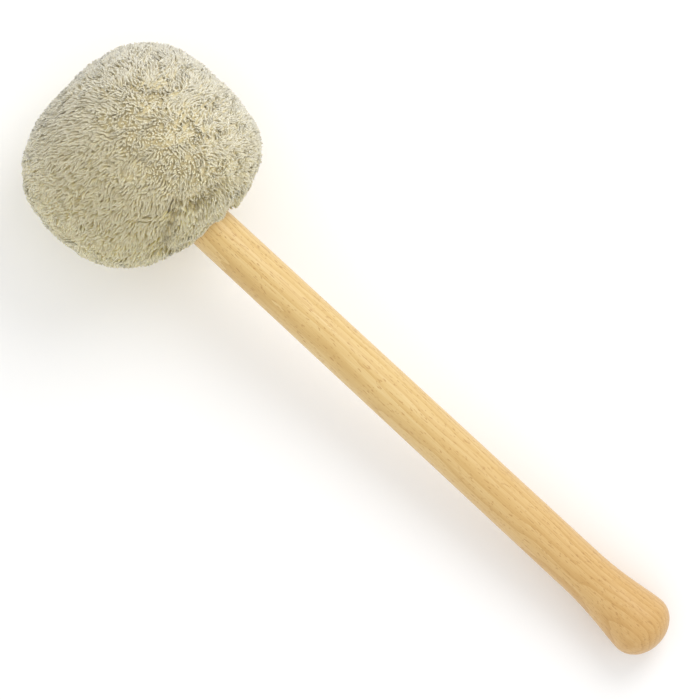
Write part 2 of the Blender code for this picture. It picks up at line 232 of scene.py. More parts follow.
def finish_piece(
    obj: bpy.types.Object, material: bpy.types.Material
) -> bpy.types.Object:
    """Gives a new piece its material and the body that it rides on.

    Args:
        obj: the piece.
        material: its material.

    Returns:
        The piece.
    """
    obj.data.materials.append(material)
    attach(obj, BODY)
    log.info("%s: %d faces", obj.name, len(obj.data.polygons))
    return obj


# The mallet's own axes


@dataclass(frozen=True)
class MalletAxes:
    """Where the mallet's own axes lie, read from two round pieces that sit on its axis."""

    core_middle: float = 46.7 * MM

    def matrix(self) -> Matrix:
        """Finds the axes.

        Returns:
            The matrix from the mallet's own axes to the row frame.
        """
        core = sum(map(Vector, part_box("core")), Vector()) / 2
        washer = sum(map(Vector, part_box("core_washer")), Vector()) / 2
        along = (washer - core).normalized()
        across = Vector((0, 1, 0))
        up = across.cross(along)
        neck = core - along * self.core_middle
        turn = Matrix((up, across, along)).transposed().to_4x4()
        return Matrix.Translation(neck) @ turn


MALLET = MalletAxes().matrix()


def turned(vectors: np.ndarray) -> np.ndarray:
    """Directions in the mallet's own axes, turned to the row frame."""
    return vectors @ np.array(MALLET.to_3x3()).T


def to_world(points: np.ndarray) -> np.ndarray:
    """Points in the mallet's own axes, moved to the row frame."""
    return turned(points) + np.array(MALLET.translation)


# Finishes


@dataclass(frozen=True)
class BeechFinish:
    """Steamed beech, turned, sanded and lacquered: growth rings and short brown ray flecks.

    Lengths are in millimetres. A pattern is its size across the handle, its size along it and its octaves.
    """

    name: str = "beech_lacquered"
    light: str = "e3c78c"
    middle: str = "dab979"
    dark: str = "cfab69"
    fleck: str = "b48649"
    butt: str = "ddb070"  # the wood is browner towards the knob
    browning_start: float = -120.0
    browning_end: float = -300.0
    browning: float = 0.45
    ring_spacing: float = 2.7
    ring_edge: float = 3.0  # a ring darkens slowly towards its late wood and ends in a sharp line
    ring_weight: float = 0.5
    pith: tuple[float, float, float] = (-19.0, 23.0, 0.0)  # the tree's centre lies outside the handle
    sway: float = 9.0  # how far the rings wander
    sway_pattern: tuple[float, float, float] = (16.667, 90.909, 2.0)
    fibre_pattern: tuple[float, float, float] = (0.526, 20.0, 3.0)
    fleck_pattern: tuple[float, float, float] = (0.667, 3.03, 1.0)  # gives flecks of 0.4 by 2.5 mm
    fleck_edge: tuple[float, float] = (0.63, 0.68)
    fleck_weight: float = 0.7
    roughness: tuple[float, float] = (0.37, 0.51)
    lacquer: float = 0.22
    lacquer_roughness: float = 0.28
    relief: float = 0.1
    relief_strength: float = 0.12

    def noise(
        self,
        tree: bpy.types.NodeTree,
        mm: bpy.types.NodeSocket,
        pattern: tuple[float, float, float],
    ) -> bpy.types.NodeSocket:
        """Noise that is drawn out along the handle.

        Args:
            tree: the node tree.
            mm: the place in the mallet's own axes, in millimetres.
            pattern: its size across the handle, its size along it and its octaves.

        Returns:
            The noise's factor.
        """
        across, along, octaves = pattern
        scale = (1 / across, 1 / across, 1 / along)
        place = add(tree, "ShaderNodeVectorMath", {0: mm, 1: scale}, operation="MULTIPLY")
        inputs = {"Vector": place.outputs[0], "Scale": 1.0, "Detail": octaves}
        return add(tree, "ShaderNodeTexNoise", inputs).outputs["Fac"]

    def rings(
        self, tree: bpy.types.NodeTree, mm: bpy.types.NodeSocket, fibre: bpy.types.NodeSocket
    ) -> bpy.types.NodeSocket:
        """The growth rings, with the fibres that cross them.

        Args:
            tree: the node tree.
            mm: the place in the mallet's own axes, in millimetres.
            fibre: the fibres' noise.

        Returns:
            How dark the wood is at that place.
        """
        wander = self.noise(tree, mm, self.sway_pattern)
        flat = add(tree, "ShaderNodeVectorMath", {0: mm, 1: (1, 1, 0)}, operation="MULTIPLY")
        distance = add(
            tree, "ShaderNodeVectorMath", {0: flat.outputs[0], 1: self.pith}, operation="DISTANCE"
        )
        swayed = {0: wander, 1: self.sway, 2: distance.outputs["Value"]}
        value = add(tree, "ShaderNodeMath", swayed, operation="MULTIPLY_ADD").outputs[0]
        steps = (
            ("MULTIPLY", {1: 1 / self.ring_spacing}),
            ("FRACT", {}),
            ("POWER", {1: self.ring_edge}),
            ("MULTIPLY_ADD", {1: self.ring_weight, 2: fibre}),
        )
        for operation, inputs in steps:
            value = add(
                tree, "ShaderNodeMath", {0: value, **inputs}, operation=operation
            ).outputs[0]
        return value

    def browned(
        self, tree: bpy.types.NodeTree, level: bpy.types.NodeSocket, wood: bpy.types.NodeSocket
    ) -> bpy.types.NodeSocket:
        """The wood's colour, made browner towards the knob.

        Args:
            tree: the node tree.
            level: the place along the mallet, in millimetres.
            wood: the wood's colour.

        Returns:
            The browner colour.
        """
        span = {
            "Value": level,
            "From Min": self.browning_start,
            "From Max": self.browning_end,
            "To Max": self.browning,
        }
        amount = add(tree, "ShaderNodeMapRange", span).outputs[0]
        inputs = {"Factor": amount, 6: wood, 7: linear(self.butt)}
        mixed = add(tree, "ShaderNodeMix", inputs, data_type="RGBA", blend_type="MULTIPLY")
        return mixed.outputs[2]

    def flecked(
        self, tree: bpy.types.NodeTree, mm: bpy.types.NodeSocket, wood: bpy.types.NodeSocket
    ) -> bpy.types.NodeSocket:
        """The wood's colour with the brown flecks of its rays.

        Args:
            tree: the node tree.
            mm: the place in the mallet's own axes, in millimetres.
            wood: the wood's colour.

        Returns:
            The flecked colour.
        """
        span = {
            "Value": self.noise(tree, mm, self.fleck_pattern),
            "From Min": self.fleck_edge[0],
            "From Max": self.fleck_edge[1],
            "To Max": self.fleck_weight,
        }
        amount = add(tree, "ShaderNodeMapRange", span).outputs[0]
        inputs = {"Factor": amount, 6: wood, 7: linear(self.fleck)}
        return add(tree, "ShaderNodeMix", inputs, data_type="RGBA").outputs[2]

    def build(self) -> bpy.types.Material:
        """Builds the material, with its pattern on the mallet's own axes.

        Returns:
            The material.
        """
        made, tree, shader = new_material(self.name)
        place = add(tree, "ShaderNodeAttribute", attribute_name="mallet_place").outputs["Vector"]
        scaled = add(tree, "ShaderNodeVectorMath", {0: place, "Scale": 1 / MM}, operation="SCALE")
        mm = scaled.outputs[0]
        level = add(tree, "ShaderNodeSeparateXYZ", {0: mm}).outputs[2]
        fibre = self.noise(tree, mm, self.fibre_pattern)
        stops = {0.28: self.light, 0.62: self.middle, 1.0: self.dark}
        wood = ramp(tree, self.rings(tree, mm, fibre), stops)
        rough = {"Value": fibre, "To Min": self.roughness[0], "To Max": self.roughness[1]}
        relief = {
            "Height": fibre,
            "Strength": self.relief_strength,
            "Distance": self.relief * MM,
        }
        looks = {
            "Base Color": self.flecked(tree, mm, self.browned(tree, level, wood)),
            "Roughness": add(tree, "ShaderNodeMapRange", rough).outputs[0],
            "Normal": add(tree, "ShaderNodeBump", relief).outputs[0],
            "Coat Weight": self.lacquer,
            "Coat Roughness": self.lacquer_roughness,
        }
        connect(tree, shader, looks)
        return made


@dataclass(frozen=True)
class FleeceFinish:
    """Wool pile: matt, with a soft sheen at grazing angles, and darker and deeper in colour towards the roots
    between the locks: partly the wool's own tone, partly painted shade deep in the pile.
    """

    name: str = "wool_fleece"
    root: str = "e8d49c"
    middle: str = "f0deaa"
    tip: str = "f6e9c0"
    roughness: float = 0.95
    shine: float = 0.2
    sheen: float = 0.04
    sheen_roughness: float = 0.5
    glow: float = 0.65  # light passes through the fibres, so the gaps between locks stay bright
    glow_depth: float = 3.0 * MM

    def build(self) -> bpy.types.Material:
        """Builds the material, which reads each lock's height and tone from its piece's attribute.

        Returns:
            The material.
        """
        made, tree, shader = new_material(self.name)
        shade = add(tree, "ShaderNodeAttribute", attribute_name="pile_shade").outputs["Color"]
        height, brightness, saturation = add(tree, "ShaderNodeSeparateColor", {0: shade}).outputs
        # The colour darkens from tip to root: partly the wool's own tone, partly painted shade deep in the
        # pile.
        pile = ramp(tree, height, {0.15: self.root, 0.62: self.middle, 1.0: self.tip})
        tones = {"Value": brightness, "Saturation": saturation, "Color": pile}
        looks = {
            "Base Color": add(tree, "ShaderNodeHueSaturation", tones).outputs[0],
            "Roughness": self.roughness,
            "Specular IOR Level": self.shine,
            "Sheen Weight": self.sheen,
            "Sheen Roughness": self.sheen_roughness,
            "Subsurface Weight": self.glow,
            "Subsurface Radius": (1.0, 1.0, 1.0),
            "Subsurface Scale": self.glow_depth,
        }
        connect(tree, shader, looks)
        return made


@dataclass(frozen=True)
class MottledFinish:
    """A hidden piece's finish: two close colours in a grain of the right size."""

    name: str
    light: str
    dark: str
    grain: float  # mm
    roughness: float
    metallic: float = 0.0

    def build(self) -> bpy.types.Material:
        """Builds the material, on Object coordinates.

        Returns:
            The material.
        """
        made, tree, shader = new_material(self.name)
        place = add(tree, "ShaderNodeTexCoord").outputs["Object"]
        inputs = {"Vector": place, "Scale": 1 / (self.grain * MM), "Detail": 4.0}
        noise = add(tree, "ShaderNodeTexNoise", inputs).outputs["Fac"]
        looks = {
            "Base Color": ramp(tree, noise, {0.3: self.dark, 0.7: self.light}),
            "Roughness": self.roughness,
            "Metallic": self.metallic,
        }
        connect(tree, shader, looks)
        return made


# The handle


@dataclass(frozen=True)
class Handle:
    """The turned handle: a tenon in the head, a long grip and a flared, domed knob."""

    length: float = 302.8 * MM
    neck_radius: float = 11.5 * MM
    grip_radius: float = 12.4 * MM
    flare_length: float = 40.1 * MM
    pull_shaft: float = 18.7 * MM
    pull_knob: float = 6.2 * MM
    knob_radius: float = 16.2 * MM
    dome: float = 13.0 * MM
    shoulder: float = 25.4 * MM
    tenon_radius: float = 8.0 * MM
    tenon_top: float = 66.2 * MM
    chamfer: float = 1 * MM
    pilot_radius: float = 2.8 * MM
    pilot_bottom: float = 37.9 * MM
    groove_bottom: float = 3.2 * MM
    groove_top: float = 15.9 * MM
    groove_depth: float = 1.0 * MM
    around: int = 128
    shaft_steps: int = 16
    curve_steps: int = 20
    sharp: float = math.radians(35)  # an edge with a wider angle than this stays sharp

    def shaft(self) -> list[tuple[float, float]]:
        """The shaft, which swells evenly from the groove to the flare.

        Returns:
            (radius, level) of each point between its ends.
        """
        bottom = -self.length + self.dome + self.flare_length
        points = []
        for i in range(1, self.shaft_steps):
            level = self.groove_bottom + (bottom - self.groove_bottom) * i / self.shaft_steps
            swell = (self.grip_radius - self.neck_radius) * i / self.shaft_steps
            points.append((self.neck_radius + swell, level))
        return points

    def flare(self) -> list[tuple[float, float]]:
        """The flare as one cubic curve, from the shaft to the knob's widest ring.

        Returns:
            (radius, level) of each point.
        """
        top = -self.length + self.dome + self.flare_length
        ends = (
            Vector((self.grip_radius, top)),
            Vector((self.grip_radius, top - self.pull_shaft)),
            Vector((self.knob_radius, top - self.flare_length + self.pull_knob)),
            Vector((self.knob_radius, top - self.flare_length)),
        )
        points = []
        for i in range(self.curve_steps + 1):
            u = i / self.curve_steps
            weights = ((1 - u) ** 3, 3 * u * (1 - u) ** 2, 3 * u * u * (1 - u), u**3)
            points.append(tuple(sum((w * p for w, p in zip(weights, ends)), Vector((0, 0)))))
        return points

    def end(self) -> list[tuple[float, float]]:
        """The knob's domed end.

        Returns:
            (radius, level) of each point between the widest ring and the axis.
        """
        widest = -self.length + self.dome
        turns = [math.pi / 2 * i / self.curve_steps for i in range(1, self.curve_steps)]
        return [(self.knob_radius * math.cos(t), widest - self.dome * math.sin(t)) for t in turns]

    def outline(self) -> list[tuple[float, float]]:
        """The whole outline, from the bottom of the pilot hole to the end of the knob.

        Returns:
            (radius, level) of each point.
        """
        groove_radius = self.neck_radius - self.groove_depth
        return [
            (0.0, self.pilot_bottom),
            (self.pilot_radius, self.pilot_bottom),
            (self.pilot_radius, self.tenon_top),
            (self.tenon_radius - self.chamfer, self.tenon_top),
            (self.tenon_radius, self.tenon_top - self.chamfer),
            (self.tenon_radius, self.shoulder),
            (self.neck_radius, self.shoulder),
            (self.neck_radius, self.groove_top + self.groove_depth),
            (groove_radius, self.groove_top),
            (groove_radius, self.groove_bottom + self.groove_depth),
            (self.neck_radius, self.groove_bottom),
            *self.shaft(),
            *self.flare(),
            *self.end(),
            (0.0, -self.length),
        ]

    def build(self) -> bpy.types.Object:
        """Spins the handle from its outline.

        Returns:
            The piece.
        """
        bm = spun(self.outline(), self.around)
        bmesh.ops.remove_doubles(bm, verts=bm.verts, dist=MERGE)
        bmesh.ops.recalc_face_normals(bm, faces=bm.faces)
        mesh = to_mesh("beech_handle", bm)
        own = np.empty(len(mesh.vertices) * 3, np.float32)
        mesh.vertices.foreach_get("co", own)
        place = mesh.attributes.new("mallet_place", "FLOAT_VECTOR", "POINT")
        place.data.foreach_set("vector", own)
        moved = to_world(own.reshape(-1, 3))
        mesh.vertices.foreach_set("co", moved.astype(np.float32).ravel())
        mesh.shade_smooth()
        mesh.set_sharp_from_angle(angle=self.sharp)
        obj = link("beech_handle", mesh)
        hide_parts("handle")
        return finish_piece(obj, BeechFinish().build())


# The head


@dataclass(frozen=True)
class Crease:
    """A long crease in the cover. Each end is (distance round from the seam, level)."""

    start: tuple[float, float]
    end: tuple[float, float]


@dataclass(frozen=True)
class Dent:
    """A small hollow where locks have parted."""

    around: float  # from the seam
    level: float
    depth: float


@dataclass(frozen=True)
class HeadForm:
    """The form of the head at the tips of its pile."""

    radius: float = 54.8 * MM
    side_swing: float = 0.6 * MM
    widest_level: float = 49.7 * MM
    crown_level: float = 97.4 * MM
    crown_squareness: float = 2.5
    neck_squareness: float = 2.8
    squareness_swing: float = 0.4
    sag: float = 2.8 * MM
    lip_radius: float = 11.9 * MM
    lip_level: float = 1.0 * MM
    lip_width: float = 10.0 * MM
    pile_reach: float = 16 * MM  # this far out from the lip, the pile has its full length
    folds: int = 10
    fold_depth: float = 1.1 * MM
    fold_reach: float = 22.0 * MM
    dimple: float = 3.0 * MM
    dimple_reach: float = 9.0 * MM
    seam_depth: float = 1.6 * MM
    seam_width: float = 3.2 * MM
    crease_depth: float = 5.5 * MM
    crease_width: float = 3.2 * MM
    dent_width: float = 2.4 * MM
    creases: tuple[Crease, ...] = (
        Crease(start=(-46 * MM, 8.5 * MM), end=(-4 * MM, 22.5 * MM)),
        Crease(start=(2 * MM, 16.5 * MM), end=(24 * MM, 12 * MM)),
    )
    dents: tuple[Dent, ...] = (
        Dent(around=25 * MM, level=80 * MM, depth=3.5 * MM),
        Dent(around=25.5 * MM, level=75 * MM, depth=2.5 * MM),
        Dent(around=27 * MM, level=66 * MM, depth=3.5 * MM),
        Dent(around=-12 * MM, level=60 * MM, depth=1.5 * MM),
    )
    normal_step: float = 0.002  # of a turn, between the points that a normal is worked out from
    pole_gap: float = 0.001  # of a turn, from its ends, within which no normal is worked out
    crown_gap: float = 0.01  # at the crown's very middle, a step round the axis would have no length

    def surface(self, angle: np.ndarray, turn: np.ndarray, creased: bool = True) -> np.ndarray:
        """Points of the form.

        Args:
            angle: radians round from the side that faces up.
            turn: 0 at the crown, 0.5 where the head is widest and 1 at the handle.
            creased: whether the seam, folds and creases are drawn in.

        Returns:
            Points in the mallet's own axes, one row each.
        """
        side = np.sin(angle)
        upper = turn <= WIDEST
        widest = self.radius + self.side_swing * side
        low_squareness = self.neck_squareness + self.squareness_swing * side
        squareness = np.where(upper, self.crown_squareness, low_squareness)
        low_height = self.widest_level + self.sag * side
        height = np.where(upper, self.crown_level - self.widest_level, low_height)
        last = np.pi - np.arcsin((self.lip_radius / widest) ** (squareness / 2))
        low_sweep = np.pi / 2 + (last - np.pi / 2) * (2 * turn - 1)
        swept = np.where(upper, np.pi * turn, low_sweep)
        radius = widest * np.abs(np.sin(swept)) ** (2 / squareness)
        up = np.sign(np.cos(swept)) * np.abs(np.cos(swept)) ** (2 / squareness)
        level = self.widest_level + height * up
        outwards = radius - self.lip_radius
        turned_in = np.where(upper, 0.0, smooth(1 - outwards / self.lip_width))
        level += (self.lip_level - level) * turned_in
        if creased:
            clear = smooth(outwards / self.lip_width)
            reach = smooth(1 - (outwards - self.lip_width) / self.fold_reach)
            fold = self.fold_depth * clear * reach * np.cos(self.folds * angle)
            level += np.where(upper, 0.0, fold)
            level -= np.where(upper, self.dimple * smooth(1 - radius / self.dimple_reach), 0.0)
            around = radius * wrapped(angle)
            seam = self.seam_depth * np.exp(-((around / self.seam_width) ** 2)) * clear
            radius = radius - seam - self.drawn_in(wrapped(angle), level) * clear
        return np.stack([radius * np.cos(angle), radius * np.sin(angle), level], axis=-1)

    def drawn_in(self, angle: np.ndarray, level: np.ndarray) -> np.ndarray:
        """How far the creases and dents draw the surface in.

        Args:
            angle: radians round from the seam, between -pi and pi.
            level: height along the mallet.

        Returns:
            The depth at each place.
        """
        depth = np.zeros_like(angle)
        around = self.radius * angle
        for crease in self.creases:
            start = Vector(crease.start)
            run = Vector(crease.end) - start
            from_x, from_y = around - start.x, level - start.y
            along = np.clip((from_x * run.x + from_y * run.y) / run.length_squared, 0, 1)
            away = np.hypot(from_x - along * run.x, from_y - along * run.y)
            drawn = self.crease_depth * np.exp(-((away / self.crease_width) ** 2))
            depth = np.maximum(depth, drawn)
        for dent in self.dents:
            away = np.hypot(around - dent.around, level - dent.level)
            drawn = dent.depth * np.exp(-((away / self.dent_width) ** 2))
            depth = np.maximum(depth, drawn)
        return depth

    def normals(self, angle: np.ndarray, turn: np.ndarray) -> np.ndarray:
        """Unit normals of the uncreased form, outwards.

        Args:
            angle: radians round from the side that faces up.
            turn: the place between crown and handle.

        Returns:
            Normals in the mallet's own axes, one row each.
        """
        step, nearest, furthest = self.normal_step, self.pole_gap, 1 - self.pole_gap
        low = np.clip(turn - step, nearest, furthest)
        high = np.clip(turn + step, nearest, furthest)
        down = self.surface(angle, high, False) - self.surface(angle, low, False)
        turn = np.clip(turn, self.crown_gap, 1.0)
        across = self.surface(angle + step, turn, False) - self.surface(angle - step, turn, False)
        return unit(np.cross(down, across))

    def clear_of_lip(self, tips: np.ndarray, turn: np.ndarray) -> np.ndarray:
        """How far each place is from the lip at the handle.

        Args:
            tips: points of the form.
            turn: their places between crown and handle.

        Returns:
            0 at the lip, rising to 1 where the pile has its full length.
        """
        outwards = np.hypot(tips[:, 0], tips[:, 1]) - self.lip_radius
        return np.where(turn > WIDEST, smooth(outwards / self.pile_reach), 1.0)


def write_shade(mesh: bpy.types.Mesh, shade: np.ndarray) -> None:
    """Writes what the fleece's material reads: height in the pile, brightness, saturation and 1."""
    layer = mesh.color_attributes.new("pile_shade", "FLOAT_COLOR", "POINT")
    layer.data.foreach_set("color", shade.astype(np.float32).ravel())


class Strip(Enum):
    """The six strips that the pile is made in, each by its middle's angle, in sixths of a circle."""

    TOP = 0
    UPPER_RIGHT = 1
    LOWER_RIGHT = 2
    UNDER = 3
    LOWER_LEFT = 4
    UPPER_LEFT = 5


@dataclass(frozen=True)
class Comb:
    """How the pile is combed: to the -y side where the head faces up, fanning out from its middle."""

    facing: tuple[float, float] = (0.5, 0.6)  # where the combed part fades out below, and how fast
    side: tuple[float, float] = (0.62, 0.75)  # where it fades out on the +y side, and how fast
    fan: float = 0.55
    fan_middle: float = 44 * MM
    fan_reach: float = 50 * MM
    swirl: float = 0.24
    lean: float = 0.58  # of a lock's length

    def leans(
        self, angle: np.ndarray, normal: np.ndarray, tips: np.ndarray, swirl: np.ndarray
    ) -> np.ndarray:
        """How far each lock leans.

        Args:
            angle: radians round from the side that faces up.
            normal: the head's normals.
            tips: where the locks end.
            swirl: a smooth random vector for each lock.

        Returns:
            The lean of each lock along the surface, for a length of 1.
        """
        facing_up = smooth(self.facing[0] + self.facing[1] * np.cos(angle))
        combed = facing_up * smooth(self.side[0] - self.side[1] * np.sin(angle))
        out = (tips[:, 2] - self.fan_middle) / self.fan_reach
        wish = np.stack([np.zeros_like(out), -combed, self.fan * combed * out], axis=-1)
        return along_surface(wish + self.swirl * swirl, normal) * self.lean


@dataclass(frozen=True)
class Stand:
    """Where the locks stand and how each one curves, a row each, in the mallet's own axes."""

    angle: np.ndarray
    tips: np.ndarray  # on the head's form
    normal: np.ndarray
    clear: np.ndarray  # of the lip, from 0 to 1
    clump: np.ndarray  # a smooth random vector that neighbours share
    roots: np.ndarray
    bends: np.ndarray
    ends: np.ndarray


@dataclass(frozen=True)
class WoolTone:
    """How bright and how yellow each lock is, with painted light and shade in it. The wool is paler towards
    the crown and the +y side, which face the lamp: painted light.
    """

    brightness: float = 1.12
    # painted light and shade that even out the lamp's shading: darker on the +y side, which the lamp lights,
    # and lighter on the -y side
    side: float = -0.1
    clump: float = 0.03
    spread: float = 0.02
    # painted shade in the creases and dents
    hollow: float = -0.16
    # painted shade near the lip, where the fleece draws in round the handle
    lip: float = -0.08
    saturation: float = 1.1
    # painted light: less yellow towards the crown and the +y side, which face the lamp
    painted_paling: float = -0.26
    painted_paling_side: float = 0.8
    painted_paling_crown: float = 0.6
    saturation_spread: float = 0.012

    def tones(
        self, stand: Stand, form: HeadForm, rng: np.random.Generator
    ) -> tuple[np.ndarray, np.ndarray]:
        """Works the locks' tones out.

        Args:
            stand: where the locks stand.
            form: the head's form.
            rng: the random numbers.

        Returns:
            Each lock's brightness and its saturation.
        """
        count = len(stand.angle)
        # How deep the creases and dents draw in, for their painted shade.
        hollow = form.drawn_in(wrapped(stand.angle), stand.tips[:, 2]) / form.crease_depth
        bright = self.brightness + self.clump * stand.clump[:, 1]
        # Painted light and shade: darker on the lamp's +y side, lighter on the -y side.
        bright = bright + rng.normal(0, self.spread, count) + self.side * stand.normal[:, 1]
        # Painted shade in the creases and dents, and near the lip round the handle.
        bright += self.hollow * hollow + self.lip * (1 - stand.clear)
        # Painted light: paler where the head faces the lamp.
        painted_paling = self.painted_paling_side * stand.normal[:, 1] + self.painted_paling_crown * stand.normal[:, 2]
        spread = rng.normal(0, self.saturation_spread, count)
        return bright, self.saturation + self.painted_paling * painted_paling + spread


@dataclass(frozen=True)
class Locks:
    """Finished locks, a row each."""

    points: np.ndarray  # in the row frame
    normals: np.ndarray  # that they are shaded with
    brightness: np.ndarray
    saturation: np.ndarray

    def where(self, chosen: np.ndarray) -> "Locks":
        """The locks that a mask picks."""
        arrays = (self.points, self.normals, self.brightness, self.saturation)
        return Locks(*(array[chosen] for array in arrays))


@dataclass(frozen=True)
class Pile:
    """The pile: thousands of curved, tapering locks that stand on the cover's backing."""

    form: HeadForm
    comb: Comb = Comb()
    tone: WoolTone = WoolTone()
    spacing: float = 1.3 * MM
    row_spacing: float = 0.87  # of the spacing
    jitter: float = 0.28  # of the spacing
    fewest: int = 4  # locks in a row round the axis
    samples: int = 1200  # turns at which the distance from the crown is worked out
    length: float = 7.0 * MM
    lip_length: float = 3.5 * MM
    length_spread: float = 0.06
    width: float = 0.66 * MM  # half the width of a lock
    width_spread: float = 0.25
    thickness: float = 0.7  # of its width
    blunt: float = 0.5  # width of its tip, of its own
    taper: float = 2.4  # the higher, the nearer to its tip a lock narrows
    crimp: float = 0.3 * MM
    crimps: float = 1.7  # waves in a lock
    fuzz: float = 0.82  # how far its shading follows the head's
    clump_waves: tuple[float, float] = (4.5 * MM, 8 * MM)
    tuft_waves: tuple[float, float] = (2.6 * MM, 4 * MM)
    swell_waves: tuple[float, float] = (15 * MM, 30 * MM)
    swirl_waves: tuple[float, float] = (7 * MM, 16 * MM)
    wave_count: int = 28
    clump_drift: float = 0.55 * MM
    tuft_drift: float = 0.4 * MM
    clump_rise: float = 0.25 * MM
    swell_rise: float = 0.35 * MM
    rise_spread: float = 0.15 * MM
    drop: float = 0.2 * MM
    most_rise: float = 0.8 * MM
    lip_rise: float = 0.3  # share of the rise that is left at the lip
    bend_height: float = 0.76  # of its length
    bend_lean: float = 0.25
    bend_drift: float = 0.35
    pressed: float = 0.05 * MM  # height of the pile that the table has pressed flat
    press_slope: float = 0.02
    sides: int = 4
    joints: int = 3
    seed: int = 11

    def lock(self) -> tuple[np.ndarray, np.ndarray]:
        """One straight lock of unit radius and height.

        Returns:
            Its points, and its four-sided faces by point number.
        """
        bm = bmesh.new()
        bmesh.ops.create_cone(
            bm,
            cap_ends=True,
            segments=self.sides,
            radius1=1,
            radius2=1,
            depth=1,
            matrix=Matrix.Translation((0, 0, 0.5)),
        )
        upright = [e for e in bm.edges if abs(e.verts[0].co.z - e.verts[1].co.z) > 0.5]
        bmesh.ops.subdivide_edges(bm, edges=upright, cuts=self.joints, use_grid_fill=True)
        bm.verts.index_update()
        points = np.array([v.co[:] for v in bm.verts])
        faces = np.array([[v.index for v in f.verts] for f in bm.faces])
        bm.free()
        return points, faces

    def places(self, rng: np.random.Generator) -> tuple[np.ndarray, np.ndarray]:
        """Evenly spread places on the form.

        Args:
            rng: the random numbers.

        Returns:
            The angle and the turn of each place.
        """
        fine = np.linspace(0.0, 1.0, self.samples)
        meridian = self.form.surface(np.zeros_like(fine), fine, False)
        steps = np.linalg.norm(np.diff(meridian, axis=0), axis=1)
        run = np.concatenate([[0.0], np.cumsum(steps)])
        rows = np.arange(0.5 * self.spacing, run[-1], self.spacing * self.row_spacing)
        angles, turns = [], []
        for row in rows:
            radius = np.interp(row, run, meridian[:, 0])
            count = max(self.fewest, round(2 * math.pi * radius / self.spacing))
            angle = (np.arange(count) + rng.random()) * 2 * np.pi / count
            shift = rng.normal(0, self.jitter, count) * self.spacing
            angles.append(angle + shift / max(radius, self.spacing))
            shifted = row + rng.normal(0, self.jitter, count) * self.spacing
            turns.append(np.interp(np.clip(shifted, 0, run[-1]), run, fine))
        return np.concatenate(angles), np.concatenate(turns)

    def waves(
        self, points: np.ndarray, between: tuple[float, float], rng: np.random.Generator
    ) -> np.ndarray:
        """A smooth random vector at each point.

        Args:
            points: the points.
            between: the shortest wave and the longest.
            rng: the random numbers.

        Returns:
            Vectors about 1 in size.
        """
        total = np.zeros_like(points)
        for _ in range(self.wave_count):
            direction = rng.normal(size=3)
            direction /= np.linalg.norm(direction)
            wave = 2 * np.pi / rng.uniform(*between)
            phase = points @ direction * wave + rng.uniform(0, 2 * np.pi)
            total += np.sin(phase)[:, None] * rng.normal(size=3)
        return total / math.sqrt(self.wave_count / 2)

    def stand(self, rng: np.random.Generator) -> Stand:
        """Places the locks and curves them.

        Args:
            rng: the random numbers.

        Returns:
            Where they stand.
        """
        angle, turn = self.places(rng)
        count = len(angle)
        tips = self.form.surface(angle, turn)
        normal = self.form.normals(angle, turn)
        clear = self.form.clear_of_lip(tips, turn)
        length = self.lip_length + (self.length - self.lip_length) * clear
        length *= rng.uniform(1 - self.length_spread, 1 + self.length_spread, count)
        clump = self.waves(tips, self.clump_waves, rng)
        tuft = self.waves(tips, self.tuft_waves, rng)
        swell = self.waves(tips, self.swell_waves, rng)[:, 0]
        drift = along_surface(self.clump_drift * clump + self.tuft_drift * tuft, normal)
        rise = self.clump_rise * clump[:, 0] + self.swell_rise * swell
        rise = rise + rng.normal(0, self.rise_spread, count) - self.drop
        rise = np.minimum(rise, self.most_rise) * (self.lip_rise + (1 - self.lip_rise) * clear)
        swirl = self.waves(tips, self.swirl_waves, rng)
        lean = self.comb.leans(angle, normal, tips, swirl) * (length * clear)[:, None]
        roots = tips - normal * length[:, None] - lean
        straight = roots + normal * (self.bend_height * length)[:, None]
        bends = straight + self.bend_lean * lean + self.bend_drift * drift
        ends = tips + drift * clear[:, None] + normal * rise[:, None]
        return Stand(angle, tips, normal, clear, clump, roots, bends, ends)

    def shape(
        self, stand: Stand, points: np.ndarray, rng: np.random.Generator
    ) -> tuple[np.ndarray, np.ndarray]:
        """Sweeps the straight lock along every curve.

        Args:
            stand: where the locks stand.
            points: the straight lock's points.
            rng: the random numbers.

        Returns:
            Each lock's points and the normals that it is shaded with, in the row frame.
        """
        count = len(stand.angle)
        wide = unit(np.cross(stand.normal, rng.normal(size=(count, 3))))
        thin = np.cross(stand.normal, wide)
        v = points[:, 2][None, :, None]
        spine = (1 - v) ** 2 * stand.roots[:, None] + 2 * v * (1 - v) * stand.bends[:, None]
        spine = spine + v * v * stand.ends[:, None]
        start = rng.uniform(0, 2 * np.pi, count)[:, None, None]
        wave = np.sin(2 * np.pi * self.crimps * v + start) * self.crimp * v
        spine = spine + wave * wide[:, None]
        spread = rng.uniform(1 - self.width_spread, 1 + self.width_spread, count)[:, None, None]
        size = spread * self.width * (1 - (1 - self.blunt) * v**self.taper)
        body = points[None, :, 0, None] * wide[:, None]
        body = body + points[None, :, 1, None] * thin[:, None] * self.thickness
        shaped = to_world((spine + size * body).reshape(-1, 3)).reshape(count, len(points), 3)
        # Where the head rests, the pile lies pressed on the table.
        flat = self.pressed + self.press_slope * shaped[..., 2]
        shaped[..., 2] = np.maximum(shaped[..., 2], flat)
        # Loose fibres round each lock soften its shading, so its normals turn towards the head's own.
        soft = stand.normal[:, None] * self.fuzz + body * (1 - self.fuzz)
        return shaped, unit(turned(soft))

    def build(self, material: bpy.types.Material) -> list[bpy.types.Object]:
        """Builds the pile in strips, so that none holds too many faces.

        Args:
            material: the fleece.

        Returns:
            The pieces.
        """
        rng = np.random.default_rng(self.seed)
        stand = self.stand(rng)
        points, faces = self.lock()
        shaped, normals = self.shape(stand, points, rng)
        locks = Locks(shaped, normals, *self.tone.tones(stand, self.form, rng))
        sixths = stand.angle / (2 * np.pi / len(Strip))
        strips = np.floor((sixths + 0.5) % len(Strip)).astype(int)
        return [
            self.strip(which, locks.where(strips == which.value), points, faces, material)
            for which in Strip
        ]

